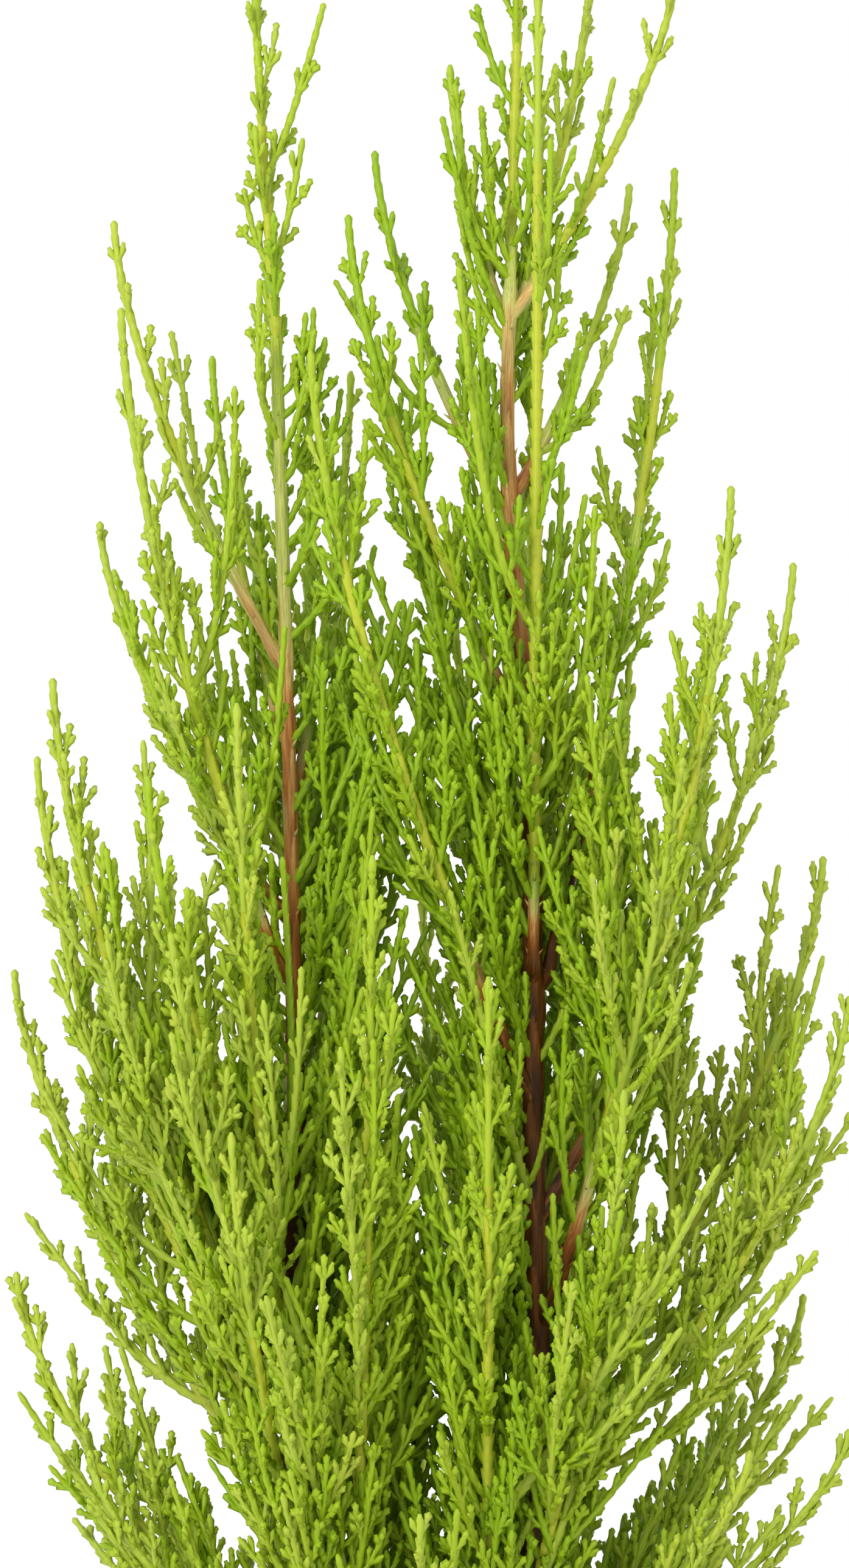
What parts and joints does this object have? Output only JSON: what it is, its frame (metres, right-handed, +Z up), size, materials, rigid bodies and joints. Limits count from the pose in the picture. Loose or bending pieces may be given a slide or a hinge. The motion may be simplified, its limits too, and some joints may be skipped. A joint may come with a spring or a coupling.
{
  "type": "potted lemon cypress",
  "caption": "Young two-stemmed lemon cypress in a plain clay pot: upright feathery plumes of yellow-green scale foliage on slender brown stems.",
  "frame": {"origin": "centre of the pot's flat underside, on the surface that it stands on", "axes": "+Z up along the pot's axis; -Y is the front, the side that the picture shows; the two stems stand side by side along X"},
  "size_m": [0.1723, 0.146, 0.532],
  "materials": {
    "clay": "unglazed fired clay, matt, faint pale bloom",
    "soil": "dark loose potting soil",
    "bark": "thin bark, dark red-brown at the foot, peeling tan above, pale green at the top",
    "foliage": "small overlapping scale leaves, yellow-green, slightly waxy"
  },
  "bodies": {
    "root": {"bough_centre_back": "bark", "bough_centre_front": "bark", "bough_centre_high": "bark", "bough_centre_top": "bark", "bough_left_cross": "bark", "bough_left_high": "bark", "bough_left_mid_front": "bark", "bough_right_high": "bark", "bough_right_mid": "bark", "bough_right_mid_front": "bark", "plume_back_high_1": "foliage", "plume_back_high_2": "foliage", "plume_back_mid_1": "foliage", "plume_back_mid_2": "foliage", "plume_back_mid_3": "foliage", "plume_centre_back": "foliage", "plume_centre_front": "foliage", "plume_centre_high": "foliage", "plume_centre_top": "foliage", "plume_front_low_1": "foliage", "plume_front_low_2": "foliage", "plume_front_low_3": "foliage", "plume_front_low_4": "foliage", "plume_left_cross": "foliage", "plume_left_high": "foliage", "plume_left_hook": "foliage", "plume_left_inner_back": "foliage", "plume_left_inner_front": "foliage", "plume_left_leader": "foliage", "plume_left_low": "foliage", "plume_left_mid": "foliage", "plume_left_mid_back": "foliage", "plume_left_mid_front": "foliage", "plume_left_shoulder": "foliage", "plume_left_upper": "foliage", "plume_left_upper_back": "foliage", "plume_right_front": "foliage", "plume_right_high": "foliage", "plume_right_high_side": "foliage", "plume_right_leader": "foliage", "plume_right_low": "foliage", "plume_right_low_front": "foliage", "plume_right_mid": "foliage", "plume_right_mid_back": "foliage", "plume_right_mid_front": "foliage", "plume_right_shoulder": "foliage", "plume_right_top_inner": "foliage", "plume_right_top_left": "foliage", "plume_right_top_outer": "foliage", "plume_skirt_back_1": "foliage", "plume_skirt_back_2": "foliage", "plume_skirt_back_3": "foliage", "plume_skirt_front_1": "foliage", "plume_skirt_front_2": "foliage", "plume_skirt_front_3": "foliage", "pot": "clay", "soil": "soil", "stem_foot": "bark", "stem_left": "bark", "stem_right": "bark"}
  },
  "joints": []
}
